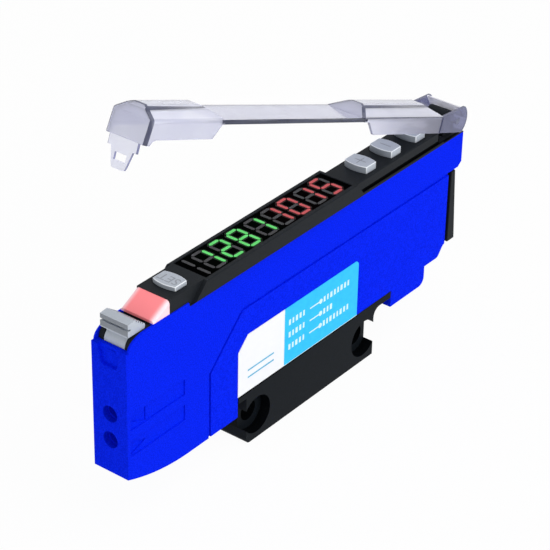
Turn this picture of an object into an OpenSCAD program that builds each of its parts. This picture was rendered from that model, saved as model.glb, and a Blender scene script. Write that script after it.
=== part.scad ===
// Fibre optic sensor amplifier for rail or screw mounting: a slim case with two fibre ports in
// front, a clamp lever, an indicator lens, four keys, a digit display and a hinged clear cover.
// Millimetres. X runs from the fibre ports to the cable end, the label faces -Y, Z is up, and the
// origin is the middle of the mounting bracket's base.

/* [Case] */
// Length of the case from the front face to the rear end
case_l = 80; // [78:0.5:90]
// Width of the case
case_w = 6.2; // [6:0.1:8]
// Height of the case's top edge over the bracket's base
case_h = 30.3; // [30:0.1:34]
// Thickness of the case's side walls
case_wall = 0.7; // [0.6:0.05:0.75]
// Thickness of the case's front wall
front_wall = 1.1; // [1:0.1:1.3]
// Height of the belly over the base
belly_z = 5.9; // [5:0.1:6.8]
// Height of the lower front corner over the base
chin_z = 8.4; // [7.5:0.1:9]
// Length of the curved prow below the front face
prow_l = 13; // [10:0.5:16]
// Height of the rear leg's foot over the base
leg_z = 6.4; // [5.5:0.1:7]
// Length of the rear leg's foot
leg_l = 9.1; // [7:0.1:10]
// Height of the tail's underside over the base
heel_z = 9.6; // [9:0.1:11]
// Depth of the step under the rear overhang
tail_step = 3.3; // [2.5:0.1:4]
// Height of the rear overhang, from its lower edge to the case's top edge
tail_h = 6; // [5:0.1:7]
// Share of the case's length that lies in front of the bracket's middle
nose_share = 0.523; // [0.515:0.001:0.54]
// Drop of the front ledge below the case's top edge
ledge_drop = 1.35; // [1:0.05:1.8]
// Rise of the front cheeks above the case's top edge
cheek_rise = 0.7; // [0.4:0.05:1]
// Length of the front cheeks
cheek_l = 13.3; // [12.5:0.1:13.4]
// Thickness of the front cheeks beside the lever
cheek_t = 0.3; // [0.25:0.05:0.4]
// Gap between pieces that fit together
gap = 0.1; // [0.06:0.01:0.12]

/* [Side cover] */
// Distance from the front face to the side cover's front edge
panel_x = 17.45; // [17:0.05:19]
// Drop of the side cover's top edge below the case's top edge
panel_drop = 5.95; // [5:0.05:7]
// Size of the side cover's slanted corner
panel_cut = 7.4; // [5:0.1:8]
// Depth of the side cover's face behind the case's face
panel_in = 0.06; // [0.04:0.02:0.2]
// Thickness of the side cover
panel_t = 0.65; // [0.5:0.05:0.65]
// Width of the groove round the side cover's face
groove_w = 0.5; // [0.3:0.05:0.6]
// Depth of the groove round the side cover's face
groove_d = 0.25; // [0.15:0.05:0.35]

/* [Label] */
// Length of the label
label_l = 29; // [24:0.5:32]
// Height of the label
label_h = 9.9; // [8:0.1:12]
// Length of the label's plain field
label_split = 10.8; // [8:0.1:14]
// Thickness of the label
label_t = 0.12; // [0.08:0.01:0.15]
// Corner cut and corner radius of the label
label_cut = 2.2; // [1:0.1:3]

/* [Bracket] */
// Length of the bracket's base
bracket_l = 31.6; // [30:0.1:33]
// Height of the bracket, from its base to the case's seat
bracket_h = 9.35; // [9:0.05:10]
// Thickness of the bracket's top flange
flange_t = 1.15; // [0.8:0.05:1.5]
// Reach of the flange in front of the bracket's middle
flange_front = 17.75; // [17.2:0.05:18.5]
// Reach of the flange behind the bracket's middle
flange_rear = 20.35; // [19.5:0.05:21]
// Distance from the bracket's ends to the mounting screws' middles
bolt_edge = 2.55; // [2.3:0.05:4]
// Radius of the mounting screw holes
bolt_r = 1.7; // [1.5:0.05:1.9]
// Radius of the screw heads' counterbores
head_r = 3.1; // [2.8:0.05:3.3]
// Depth of the counterbores
head_depth = 1.75; // [1.2:0.05:3]
// Height of the mounting screws over the base
bolt_z = 4.12; // [3.7:0.02:4.5]

/* [Fibre ports] */
// Radius of the port openings in the front face
port_r = 1.3; // [1.25:0.05:1.4]
// Radius of the fibre bores
fibre_r = 1.2; // [1.1:0.02:1.22]
// Spacing of the two fibre ports
port_pitch = 4.3; // [3.9:0.1:4.6]
// Height of the upper fibre port over the base
port_z = 18.2; // [17.8:0.1:18.8]
// Length of the fibre bores
fibre_l = 11.9; // [10:0.1:12]
// Length of the sockets for the two diodes
socket_l = 3; // [2.5:0.1:3.5]
// Height of the fibre block above the upper port's middle
block_rise = 5.2; // [4.8:0.1:5.4]
// Depth of the fibre block below the lower port's middle
block_drop = 3; // [2.5:0.1:3.4]
// Radius of the diodes
diode_r = 1.4; // [1.3:0.05:1.5]
// Length of the direction marks on the label side
mark_l = 11.5; // [9:0.1:12]
// Height of the direction marks
mark_h = 2.6; // [2:0.1:3]
// Depth of the direction marks
mark_in = 0.2; // [0.1:0.02:0.24]
// Drop of the direction marks below the ports
mark_drop = 0.6; // [0:0.1:0.8]

/* [Clamp lever] */
// Radius of the lever's drum
drum_r = 1.7; // [1.5:0.05:1.75]
// Width of the lever's drum
drum_w = 3.7; // [3.4:0.1:3.8]
// Width of the lever's handle
handle_w = 4.95; // [4.6:0.05:5]
// Length of the lever's handle
handle_l = 3.5; // [3.2:0.1:3.6]
// Height of the lever's handle
handle_h = 2.15; // [2:0.05:2.3]
// Radius of the lever's pin
pivot_r = 0.6; // [0.45:0.05:0.7]

/* [Top panel] */
// Rise of the display frame above the case's top edge
frame_rise = 2.9; // [2.6:0.05:3.3]
// Overhang of the display frame on each side of the case
frame_over = 0.5; // [0.45:0.05:0.7]
// Distance from the front face to the display frame
frame_x = 16.4; // [16:0.1:17]
// Length of the rear key panel, from the display frame to the hinge pin
rear_l = 26.3; // [26.1:0.1:27.5]
// Slope of the display frame's ends
frame_slope = 2.3; // [1.8:0.1:2.4]
// Inset of the key panels on each side of the case
key_in = 0.15; // [0.1:0.05:0.2]
// Step down from the display frame to the rear key panel
rear_step = 0.43; // [0.3:0.01:0.6]
// Thickness of the key panels
skin = 0.9; // [0.7:0.05:1]
// Margin round the display at the frame's sides
frame_rim = 0.62; // [0.56:0.02:0.76]
// Margin round the display at the frame's ends
frame_end = 0.5; // [0.4:0.05:0.8]
// Depth of the display's face in the frame
face_in = 0.15; // [0.1:0.01:0.25]

/* [Digits] */
// Height of a digit
digit_h = 5.14; // [4.6:0.02:5.3]
// Width of a digit as a share of the digits' spacing
digit_share = 0.724; // [0.65:0.002:0.74]
// Thickness of the segments over the display's face
digit_t = 0.05; // [0.03:0.01:0.08]
// Width of a segment
seg_w = 0.5; // [0.4:0.02:0.56]
// Gap between the ends of neighbouring segments
seg_gap = 0.25; // [0.15:0.01:0.35]
// Distance from the display's front end to the first bar
digit_x = 1.44; // [1.2:0.02:1.6]
// Distance from the last digit's place to the display's rear end
digit_end = 0.71; // [0.5:0.01:1.2]

/* [Keys] */
// Width of a key, across the case
key_w = 4.1; // [3.6:0.1:4.3]
// Length of a key at its ends
key_l = 2.4; // [2:0.1:2.8]
// Bulge of a key's long sides
key_bulge = 0.4; // [0.2:0.05:0.5]
// Rise of the rear keys over their panel
key_rise = 1.05; // [0.8:0.05:1.1]
// Rise of the front key over its panel
set_rise = 0.62; // [0.5:0.02:0.8]
// Spacing of the rear keys
key_pitch = 6.4; // [5.8:0.1:6.6]
// Distance from the display frame to the first rear key's middle
key_x = 5.5; // [5.3:0.1:6]
// Distance from the front face to the front key's middle
set_x = 12.7; // [12.4:0.1:13]
// Travel of a key
key_travel = 0.25; // [0.15:0.01:0.3]

/* [Indicator lens] */
// Distance from the front face to the lens
lens_x = 5.85; // [5.8:0.05:6.2]
// Length of the lens
lens_l = 3.35; // [3:0.05:3.5]
// Height of the lens's front edge
lens_lip = 0.4; // [0.3:0.05:0.6]
// Radius of the lens's long edges
lens_round = 0.5; // [0.3:0.05:0.8]

/* [Dust cover] */
// Thickness of the dust cover
lid_t = 0.45; // [0.4:0.01:0.5]
// Angle at which the dust cover stands open
lid_open = 21.3; // [0:0.1:40]
// Height of the cover's middle strip
strip_h = 0.65; // [0.55:0.05:0.8]
// Rise of the cover's hoods above the strip
hood_rise = 1.5; // [1.3:0.05:1.7]
// Inset of the hoods' ridges from the cover's sides
hood_in = 1.95; // [1.5:0.05:2.2]
// Depth of the cover's side skirts below the strip's top
skirt_h = 2.6; // [2.2:0.05:2.7]
// Length of the latch tongue
tongue_l = 2.8; // [2.4:0.1:3]
// Width of the latch tongue at its root
tongue_w = 3.7; // [3:0.1:3.7]
// Radius of the hinge pin
pin_r = 0.5; // [0.4:0.05:0.6]
// Distance from the case's rear end to the hinge pin
hinge_x = 2.5; // [2.4:0.1:3]
// Height of the hinge pin above the case's top edge
hinge_rise = 2.95; // [2.9:0.05:3.2]

/* [Boards] */
// Thickness of the circuit boards
board_t = 0.8; // [0.6:0.05:1]
// Depth of the panel's inner rim below the case's top edge
rim_depth = 1.2; // [1:0.05:1.5]
// Height of the key switches over their board
switch_h = 1.6; // [1.4:0.05:1.8]
// Width of the key switches
switch_w = 2.8; // [2.4:0.1:3]
// Radius of the cable bush's bore
cable_r = 1.4; // [1.2:0.05:1.5]
// Height of the cable bush over the base
cable_z = 16; // [15.5:0.1:20]

/* [Hidden] */
$fn = 48;
eps = 0.02;
half_w = case_w/2;
in_w = half_w - case_wall;
key_half = half_w - key_in;
frame_half = half_w + frame_over;
nose_l = case_l*nose_share;
recess_0 = nose_l - flange_front;
recess_1 = nose_l + flange_rear;
leg_1 = recess_1 + leg_l;
tail_x = case_l - tail_step;
tail_z = case_h - tail_h;
ledge_z = case_h - ledge_drop;
cheek_z = case_h + cheek_rise;
frame_z = case_h + frame_rise;
frame_1 = case_l - hinge_x - rear_l;
frame_l = frame_1 - frame_x;
rear_z = frame_z - rear_step;
panel_z = case_h - panel_drop;
face_z = frame_z - face_in;
disp_x = frame_x + frame_end;
disp_l = frame_l - frame_end - frame_slope*0.2;
disp_half = frame_half - frame_rim;
digit_0 = digit_x + 1.5*seg_w;
digit_pitch = (disp_l - digit_0 - digit_end)/8;
digit_w = digit_pitch*digit_share;
bolt_span = bracket_l - 2*bolt_edge;
drum_x = front_wall + gap + drum_r;
drum_z = ledge_z;
handle_x = drum_x - drum_r;
handle_z = cheek_z - gap;
block_1 = front_wall + fibre_l + socket_l;
pin_x = case_l - hinge_x;
pin_z = case_h + hinge_rise;
lid_half = frame_half - gap;
lid_in = key_half + gap;
strip_z = frame_z + gap;
strip_top = strip_z + strip_h;
hood_top = strip_top + hood_rise;
skirt_z = strip_top - skirt_h;
notch_in = 0.6;
board_z = case_h - rim_depth - board_t;
switch_z = board_z + board_t + switch_h;
label_x = recess_0;
lug_r = 1.25;
key_flange = key_w/2 + 0.15;
key_bay = key_flange + gap;
hood_1 = frame_x - 0.5;
ridge_1 = hood_1 - 3.3;
frame_foot = frame_x - frame_slope*1.25;
skirt_1 = frame_x - (frame_z - skirt_z)*(frame_x - frame_foot)/frame_rise - 0.7;

function ellipse(cx, cz, rx, rz, a0, a1, n) =
    [for (i = [0:n]) let (a = a0 + (a1 - a0)*i/n) [cx + rx*cos(a), cz + rz*sin(a)]];

function prow(lift, x0, n) =
    [for (i = [0:n]) let (x = x0 + (prow_l - x0)*i/n)
        [x, belly_z + lift + (chin_z - belly_z)*pow(1 - x/prow_l, 2)]];

// Side outline of the case, from the chin along the underside to the rear and back over the top
function case_outline() = concat(
    prow(0, 0, 10),
    [[recess_0, belly_z], [recess_0, bracket_h], [recess_1, bracket_h], [recess_1, leg_z]],
    ellipse(leg_1 - 1.3, leg_z + 1.3, 1.3, 1.3, -90, 0, 6),
    [[leg_1, heel_z]],
    [for (i = [0:6]) [tail_x - 2.1 + 2.1*i/6, heel_z + 0.9*(1 - cos(180*i/6))]],
    [[tail_x, tail_z], [case_l - 0.9, tail_z + 0.1], [case_l, tail_z + 0.8], [case_l, case_h]],
    [[cheek_l, case_h], [cheek_l - 0.2, cheek_z]],
    ellipse(4.2, ledge_z, 3.75, cheek_z - ledge_z, 90, 180, 10),
    [[0, ledge_z]]);

// Hollow of the case, open at the top
function case_hollow() = let (w = case_wall) concat(
    prow(w + 0.35, front_wall, 6),
    [[recess_0 - w, belly_z + w], [recess_0 - w, bracket_h + w], [recess_1 + w, bracket_h + w],
     [recess_1 + w, leg_z + w], [leg_1 - 1.3, leg_z + w], [leg_1 - w, leg_z + 1.3], [leg_1 - w, heel_z + w],
     [tail_x - 2.1, heel_z + w], [tail_x - w, heel_z + 1.8 + w], [tail_x - w, tail_z + w],
     [case_l - 0.9 - w, tail_z + w], [case_l - w, tail_z + 0.8 + w], [case_l - w, cheek_z + 5],
     [front_wall, cheek_z + 5]]);

// Part of the side that the side cover closes, grown by c
function panel_area(c) = [[panel_x - c, 0], [case_l + 5, 0], [case_l + 5, panel_z + c],
    [panel_x + panel_cut - c*0.4, panel_z + c], [panel_x - c, panel_z - panel_cut + c*0.4]];

// Extrudes a side profile from y0 to y1
module side(y0, y1) translate([0, y1, 0]) rotate([90, 0, 0]) linear_extrude(height = y1 - y0) children();

// Extrudes a cross-section in Y and Z from x0 to x1
module along(x0, x1) translate([x0, 0, 0]) rotate([90, 0, 90]) linear_extrude(height = x1 - x0) children();

// Block from x0 to x1 and z0 to z1, with half width h
module slab(x0, x1, h, z0, z1) translate([x0, -h, z0]) cube([x1 - x0, 2*h, z1 - z0]);

// Round bar across the case
module bar(x, z, r, h) translate([x, h, z]) rotate([90, 0, 0]) cylinder(r = r, h = 2*h);

// Round bar along the case
module rod(x0, x1, z, r) translate([x0, 0, z]) rotate([0, 90, 0]) cylinder(r = r, h = x1 - x0);

// Moves a piece measured from the front face into the part's frame
module placed() translate([-nose_l, 0, 0]) children();

// Positions of the two fibre ports
module ports() for (z = [port_z, port_z - port_pitch]) translate([0, 0, z]) children();

// Notch in the front face for the cover's tongue, with a half width that narrows downwards
module latch_notch()
    along(-1, notch_in)
        polygon(concat([[-2.05, ledge_z + 1], [-2.05, ledge_z - 0.1]],
            ellipse(-0.98, ledge_z - 2.55, 0.5, 0.5, 190, 270, 5),
            ellipse(0.98, ledge_z - 2.55, 0.5, 0.5, 270, 350, 5),
            [[2.05, ledge_z - 0.1], [2.05, ledge_z + 1]]));

// Sunk bar below a fibre port, with a deeper arrowhead that points out of the port or into it
module direction_mark(z, points_out) {
    tip = mark_l*0.29;
    h = mark_h*0.44;
    translate([0.67, 0, z]) {
        side(-half_w - 1, -half_w + mark_in) translate([0, -mark_h/2]) square([mark_l, mark_h]);
        side(-half_w - 1, -half_w + min(2*mark_in, case_wall - 0.2))
            polygon(points_out ? [[0.2, 0], [tip, -h], [tip, h]] : [[0.2, -h], [tip, 0], [0.2, h]]);
    }
}

module main_case() color("mediumblue") placed() {
    inner = -half_w + panel_in + panel_t;
    difference() {
        union() {
            side(inner, half_w) polygon(case_outline());
            side(-half_w, inner) difference() {
                polygon(case_outline());
                polygon(panel_area(gap/2));
            }
        }
        side(-in_w, in_w) polygon(case_hollow());
        side(-half_w, 0) intersection() {
            polygon(case_hollow());
            polygon(panel_area(gap/2));
        }
        slab(-1, lens_x - gap, half_w - cheek_t, ledge_z, cheek_z + 1);
        ports() rod(-1, front_wall + 1, 0, port_r);
        latch_notch();
        direction_mark(port_z - mark_drop, true);
        direction_mark(port_z - port_pitch - mark_drop, false);
        rod(tail_x - 3, tail_x + 1, cable_z, cable_r + 0.45 + gap/2);
    }
    translate([notch_in - gap, -0.75, ledge_z - 1.1]) cube([gap + eps, 1.5, 0.5]);
    for (x = [panel_x + 4, case_l - 10], z = [bracket_h + 3.5, panel_z + 1.5])
        translate([x, in_w + eps, z]) rotate([90, 0, 0])
            cylinder(r = 0.8, h = board_t + eps);
}

module side_cover() color("mediumblue") placed()
    difference() {
        for (layer = [[0, groove_d, groove_w], [groove_d, panel_t, gap/2]])
            side(-half_w + panel_in + layer[0], -half_w + panel_in + layer[1]) intersection() {
                polygon(case_outline());
                polygon(panel_area(-layer[2]));
            }
        side(-half_w - 1, -half_w + panel_in + label_t*0.8) polygon(label_outline(gap/2));
    }

// Outline of the label, grown by c
function label_outline(c) = let (x0 = label_x - c, x1 = label_x + label_l + c, z0 = bracket_h,
        z1 = bracket_h + label_h + c, r = 0.8)
    concat([[x0, z0], [x1, z0]], ellipse(x1 - r, z1 - r, r, r, 0, 90, 6),
        [[x0 + label_cut, z1], [x0, z1 - label_cut]]);

module label_field(x0, x1)
    side(-half_w + panel_in - label_t*0.2, -half_w + panel_in + label_t*0.8) intersection() {
        polygon(label_outline(0));
        translate([x0, 0]) square([x1 - x0, case_h]);
    }

module label_plain() color("white") placed() label_field(label_x - 1, label_x + label_split);

module label_tint() color("deepskyblue") placed()
    label_field(label_x + label_split, label_x + label_l + 1);

module mounting_bracket() color([0.14, 0.15, 0.16]) placed() {
    x0 = nose_l - bracket_l/2;
    x1 = nose_l + bracket_l/2;
    zf = bracket_h - flange_t;
    r = 1.5;
    difference() {
        side(-half_w, half_w) polygon(concat(
            ellipse(x0 + 0.9, 0.9, 0.9, 0.9, 180, 270, 6), [[x1, 0]],
            ellipse(x1 + r, zf - r, r, r, 180, 90, 8),
            [[recess_1 - gap, zf], [recess_1 - gap, bracket_h], [recess_0 + gap, bracket_h],
             [recess_0 + gap, zf], [x0, zf]]));
        for (s = [-1, 1]) {
            bar(nose_l + s*bolt_span/2, bolt_z, bolt_r, half_w + 1);
            translate([nose_l + s*bolt_span/2, -half_w + head_depth, bolt_z])
                rotate([90, 0, 0]) cylinder(r = head_r, h = head_depth + 1);
        }
    }
}

module rear_cover() color([0.14, 0.15, 0.16]) placed()
    difference() {
        slab(tail_x, tail_x + 1.6, half_w - 0.15, heel_z + 1.6, tail_z);
        rod(tail_x - 1, tail_x + 3, cable_z, cable_r + 0.45 + gap/2);
        for (s = [-1, 1], i = [0:4])
            translate([tail_x + 1.35, s*2.15 - 0.25, tail_z - 1.6 - i*0.8]) cube([1, 0.5, 0.35]);
    }

module cable_bush() color([0.1, 0.1, 0.11]) placed()
    difference() {
        union() {
            rod(tail_x - case_wall - 0.6, tail_x + 1.5, cable_z, cable_r + 0.45);
            rod(tail_x - case_wall - 0.6, tail_x - case_wall, cable_z, cable_r + 0.8);
        }
        rod(tail_x - case_wall - 2, tail_x + 3, cable_z, cable_r);
    }

// Barrel-shaped key outline in plan, grown by c
module key_plan(c, h) {
    r = (pow(key_w/2, 2) + pow(key_bulge, 2))/(2*key_bulge);
    intersection() {
        translate([-key_l, -key_w/2 - c, 0]) cube([2*key_l, key_w + 2*c, h]);
        translate([key_l/2 + key_bulge - r, 0, 0]) cylinder(r = r + c, h = h, $fn = 96);
        translate([r - key_l/2 - key_bulge, 0, 0]) cylinder(r = r + c, h = h, $fn = 96);
    }
}

// Key with a retaining flange under the panel and a post over its switch
module key_body(top, under, rise) {
    translate([0, 0, under - 2*gap]) key_plan(0, top - under + 2*gap + rise - 0.15);
    translate([0, 0, top + rise - 0.15 - eps]) key_plan(-0.15, 0.15 + eps);
    translate([-key_l/2 - 0.25, -key_flange, under - gap - 0.4])
        cube([key_l + 0.5, 2*key_flange, 0.4]);
    foot = switch_z + key_travel + gap/2;
    translate([0, 0, foot]) cylinder(r = 0.8, h = under - gap - foot);
}

module key_at(i) translate([frame_1 + key_x + i*key_pitch, 0, 0]) children();

module set_key() color([0.66, 0.69, 0.73]) placed()
    translate([set_x, 0, 0]) key_body(frame_z, frame_z - skin, set_rise);

module plus_key() color([0.66, 0.69, 0.73]) placed() key_at(0) key_body(rear_z, rear_z - skin, key_rise);

module minus_key() color([0.66, 0.69, 0.73]) placed() key_at(1) key_body(rear_z, rear_z - skin, key_rise);

module mode_key() color([0.66, 0.69, 0.73]) placed() key_at(2) key_body(rear_z, rear_z - skin, key_rise);

// Cross-section of the display frame with its side wings
module frame_section() {
    c = 0.15;
    polygon([[-half_w, case_h], [half_w, case_h], [frame_half, case_h + frame_over],
        [frame_half, frame_z - c], [frame_half - c, frame_z], [c - frame_half, frame_z],
        [-frame_half, frame_z - c], [-frame_half, case_h + frame_over]]);
}

// Cross-section of the rear key panel, with a groove for the cover's skirts
module rear_section() {
    g = key_half - 0.35;
    polygon([[-g, case_h], [g, case_h], [g, skirt_z], [key_half, skirt_z],
        [key_half, rear_z - 0.1], [key_half - 0.1, rear_z], [0.1 - key_half, rear_z],
        [-key_half, rear_z - 0.1], [-key_half, skirt_z], [-g, skirt_z]]);
}

// Side outline of the panel's bearing plates beside the lever, rounded about the lever's pin
function bearing_plate() = let (z = cheek_z - 2*gap) concat(
    [[front_wall + gap/2, drum_z - 1.6], [lens_x + 1.5, drum_z - 1.6], [lens_x + 1.5, z], [drum_x, z]],
    ellipse(drum_x, drum_z, drum_x - front_wall - gap/2, z - drum_z, 95, 180, 8));

module top_bezel() color([0.14, 0.15, 0.16]) placed() {
    rim = in_w - gap/2;
    bay = rim - 0.45;
    lens_1 = lens_x + lens_l;
    key_end = frame_1 + key_x + 2*key_pitch + key_l/2 + key_bulge + 2;
    difference() {
        union() {
            slab(drum_x + drum_r + 2*gap, case_l - case_wall - gap/2, rim,
                case_h - rim_depth, case_h + eps);
            slab(cheek_l + gap/2, case_l, half_w, case_h, case_h + 0.12);
            slab(lens_x - gap/2, cheek_l + 1, rim, case_h - eps, cheek_z + eps);
            slab(lens_x - gap/2, frame_x + 1, key_half, cheek_z, frame_z);
            slab(cheek_l + gap/2, frame_x, key_half, case_h, frame_z);
            intersection() {
                along(frame_x - 6, frame_1 + 6) frame_section();
                side(-frame_half - 1, frame_half + 1)
                    polygon([[frame_foot, case_h], [frame_1 + frame_slope, case_h],
                        [frame_1, frame_z], [frame_x, frame_z]]);
            }
            along(frame_1 - 1, key_end) rear_section();
            slab(pin_x - lug_r, pin_x + lug_r, 1.7, case_h, pin_z);
            bar(pin_x, pin_z, lug_r, 1.7);
        }
        slab(lens_x - 1, lens_1 + gap/2, key_half + 1, cheek_z, frame_z + 1);
        translate([lens_x + lens_l*0.75, 0, case_h - rim_depth - 1])
            cylinder(r = 1.1, h = cheek_z - case_h + rim_depth + 2);
        bar(drum_x, drum_z, drum_r + 2*gap, drum_w/2 + gap);
        slab(lens_1 + 0.6, frame_x - 0.6, bay, case_h - rim_depth - 1, frame_z - skin);
        slab(lens_1 + 0.6, frame_x - 0.6, key_bay, cheek_z, frame_z - skin);
        slab(disp_x + 1, disp_x + disp_l - 1, bay, case_h - rim_depth - 1, case_h + 1);
        slab(disp_x, disp_x + disp_l, disp_half, case_h + 0.3, frame_z + 1);
        slab(frame_1 + 2, key_end - 1, bay, case_h - rim_depth - 1, rear_z - skin);
        slab(frame_1 + 2, key_end - 1, key_bay, cheek_z, rear_z - skin);
        slab(key_end, case_l - case_wall - 1, bay, case_h - rim_depth - 1, case_h - 0.4);
        translate([set_x, 0, frame_z - skin - 1]) key_plan(gap, skin + 2);
        for (i = [0:2]) key_at(i) translate([0, 0, rear_z - skin - 1]) key_plan(gap, skin + 2);
        bar(pin_x, pin_z, pin_r, 3);
    }
    for (s = [0, 1]) mirror([0, s, 0]) difference() {
        union() {
            side(drum_w/2 + gap, rim) polygon(bearing_plate());
            side(drum_w/2 + gap, half_w - cheek_t - gap/2) intersection() {
                polygon(bearing_plate());
                translate([0, ledge_z + gap/2]) square([lens_x - 1.5*gap, cheek_rise + ledge_drop]);
            }
        }
        bar(drum_x, drum_z, pivot_r, half_w);
    }
}

module display_module() color([0.05, 0.05, 0.06]) placed()
    slab(disp_x + gap/2, disp_x + disp_l - gap/2, disp_half - gap/2, case_h + 0.3, face_z);

// One segment of a digit: a bar with pointed ends, lying along X or across it
module segment(len, across) rotate(across ? 90 : 0)
    polygon([[-len/2, 0], [-len/2 + seg_w/2, -seg_w/2], [len/2 - seg_w/2, -seg_w/2], [len/2, 0],
        [len/2 - seg_w/2, seg_w/2], [-len/2 + seg_w/2, seg_w/2]]);

// Place, direction and digits of each of the seven segments, in half widths and half heights
seg_map = [[0, 2, 0, [0, 2, 3, 5, 6, 7, 8, 9]], [1, 1, 1, [0, 1, 2, 3, 4, 7, 8, 9]],
    [1, -1, 1, [0, 1, 3, 4, 5, 6, 7, 8, 9]], [0, -2, 0, [0, 2, 3, 5, 6, 8, 9]],
    [-1, -1, 1, [0, 2, 6, 8]], [-1, 1, 1, [0, 4, 5, 6, 8, 9]], [0, 0, 0, [2, 3, 4, 5, 6, 8, 9]]];
green_digits = [1, 2, 8, 1];
red_digits = [1, 0, 1, 5];
digit_lean = 0.036;

// The segments of one digit that are lit, or those that are not
module digit(value, lit)
    for (s = seg_map) if ((len(search(value, s[3])) > 0) == lit) {
        dx = s[0]*(digit_w - seg_w)/2;
        dy = s[1]*(digit_h - seg_w)/4;
        translate([dx + dy*digit_lean, dy])
            segment((s[2] == 1 ? (digit_h - seg_w)/2 : digit_w - seg_w) - seg_gap, s[2] == 1);
    }

module digits(values, first, lit)
    for (i = [0:len(values) - 1])
        translate([disp_x + digit_0 + (first + i + 0.5)*digit_pitch, 0, face_z])
            linear_extrude(height = digit_t) digit(values[i], lit);

module segments_green() color([0.4, 0.95, 0.5]) placed() digits(green_digits, 0, true);

module segments_red() color([0.95, 0.35, 0.35]) placed() digits(red_digits, 4, true);

module segments_dark() color([0.28, 0.28, 0.3]) placed() {
    digits(green_digits, 0, false);
    digits(red_digits, 4, false);
    for (s = [-1, 1])
        translate([disp_x + digit_x + s*digit_h*0.28*digit_lean, s*digit_h*0.28, face_z])
            linear_extrude(height = digit_t) segment(digit_h*0.485, true);
}

module tact_switch() {
    translate([-switch_w/2, -switch_w/2, board_z + board_t]) cube([switch_w, switch_w, switch_h - 0.4]);
    translate([0, 0, switch_z - 0.4 - eps]) cylinder(r = 0.75, h = 0.4 + eps);
}

module key_switches() color("gray") placed() {
    translate([set_x, 0, 0]) tact_switch();
    for (i = [0:2]) key_at(i) tact_switch();
}

module key_board() color("darkgreen") placed()
    slab(lens_x + 2, frame_1 + key_x + 2*key_pitch + 4, in_w - gap/2, board_z, board_z + board_t);

module main_board() color("darkgreen") placed()
    translate([panel_x + 2, in_w - 2*board_t, bracket_h + 1.5])
        cube([case_l - 8.2 - panel_x - 2, board_t, panel_z + 2.4 - bracket_h - 1.5]);

module indicator_lens() color([1, 0.53, 0.53]) placed() {
    rise = frame_z - gap/2 - cheek_z - lens_lip;
    tilt = atan2(rise, lens_l);
    run = norm([lens_l, rise]);
    intersection() {
        side(-key_half, key_half)
            polygon([[lens_x, cheek_z], [lens_x + lens_l, cheek_z],
                [lens_x + lens_l, frame_z - gap/2], [lens_x, cheek_z + lens_lip]]);
        translate([lens_x, 0, cheek_z + lens_lip]) rotate([0, -tilt, 0])
            along(-3, run + 3) polygon(concat([[-key_half, -5], [key_half, -5]],
                ellipse(key_half - lens_round, -lens_round, lens_round, lens_round, 0, 90, 6),
                ellipse(lens_round - key_half, -lens_round, lens_round, lens_round, 90, 180, 6)));
    }
}

module indicator_led() color("lightyellow") placed()
    translate([lens_x + lens_l*0.75, 0, board_z + board_t]) {
        cylinder(r = 0.9, h = cheek_z - board_z - board_t - 0.8);
        translate([0, 0, cheek_z - board_z - board_t - 0.8]) sphere(r = 0.75);
    }

module clamp_lever() color([0.66, 0.69, 0.73]) placed()
    difference() {
        union() {
            bar(drum_x, drum_z, drum_r, drum_w/2);
            slab(drum_x - 1.1, drum_x + 1.1, drum_w/2, drum_z, handle_z + gap);
            side(-handle_w/2, handle_w/2)
                polygon([for (p = [[0, 0], [0.96, 0], [1, 0.19], [0.98, 0.33], [0.89, 0.46], [0.42, 1],
                    [0.36, 1], [0, 0.95], [0, 0.62], [0.165, 0.55], [0.15, 0.42], [0, 0.47]])
                    [handle_x + handle_l*p[0], handle_z + handle_h*p[1]]]);
        }
        bar(drum_x, drum_z, pivot_r + gap/2, handle_w);
        for (i = [0:3])
            translate([handle_x + handle_l*(0.46 + 0.12*i), -handle_w, handle_z + handle_h*(0.85 - 0.138*i)])
                rotate([0, 34, 0]) cube([0.2, 2*handle_w, 0.6]);
    }

module lever_pin() color("silver") placed() bar(drum_x, drum_z, pivot_r, in_w - gap);

module fibre_block() color([0.12, 0.12, 0.13]) placed()
    difference() {
        slab(front_wall, block_1, in_w, port_z - port_pitch - block_drop, port_z + block_rise);
        ports() {
            rod(0, block_1 + 1, 0, fibre_r);
            rod(front_wall + fibre_l, block_1 + 1, 0, diode_r + gap/2);
        }
        slab(drum_x - 1.7, drum_x + 1.7, in_w - 0.6, port_z + fibre_r + 0.2, port_z + block_rise + 1);
    }

module fibre_clamp() color("silver") placed()
    slab(drum_x - 1.6, drum_x + 1.6, in_w - 0.7, port_z + fibre_r + 0.3, drum_z - drum_r - 0.4);

module emitter_led() color("mistyrose") placed() translate([0, 0, port_z]) {
    rod(front_wall + fibre_l + 0.3, block_1 + 0.6, 0, diode_r);
    rod(block_1, block_1 + 0.6, 0, diode_r + 0.4);
}

module receiver_diode() color([0.2, 0.2, 0.22]) placed() translate([0, 0, port_z - port_pitch]) {
    rod(front_wall + fibre_l + 0.3, block_1 + 0.6, 0, diode_r);
    rod(block_1, block_1 + 0.6, 0, diode_r + 0.4);
}

module hinge_pin() color("silver") placed() bar(pin_x, pin_z, pin_r, lid_half);

// Cross-section of the cover's hoods: straight skirts, sloped shoulders and a narrow crowned top
module hood_section(h, top) {
    ridge = h - hood_in;
    polygon([[h, skirt_z - 5], [h, top - hood_rise], [ridge, top - 0.2], [ridge - 0.6, top],
        [0.6 - ridge, top], [-ridge, top - 0.2], [-h, top - hood_rise], [-h, skirt_z - 5]]);
}

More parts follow.
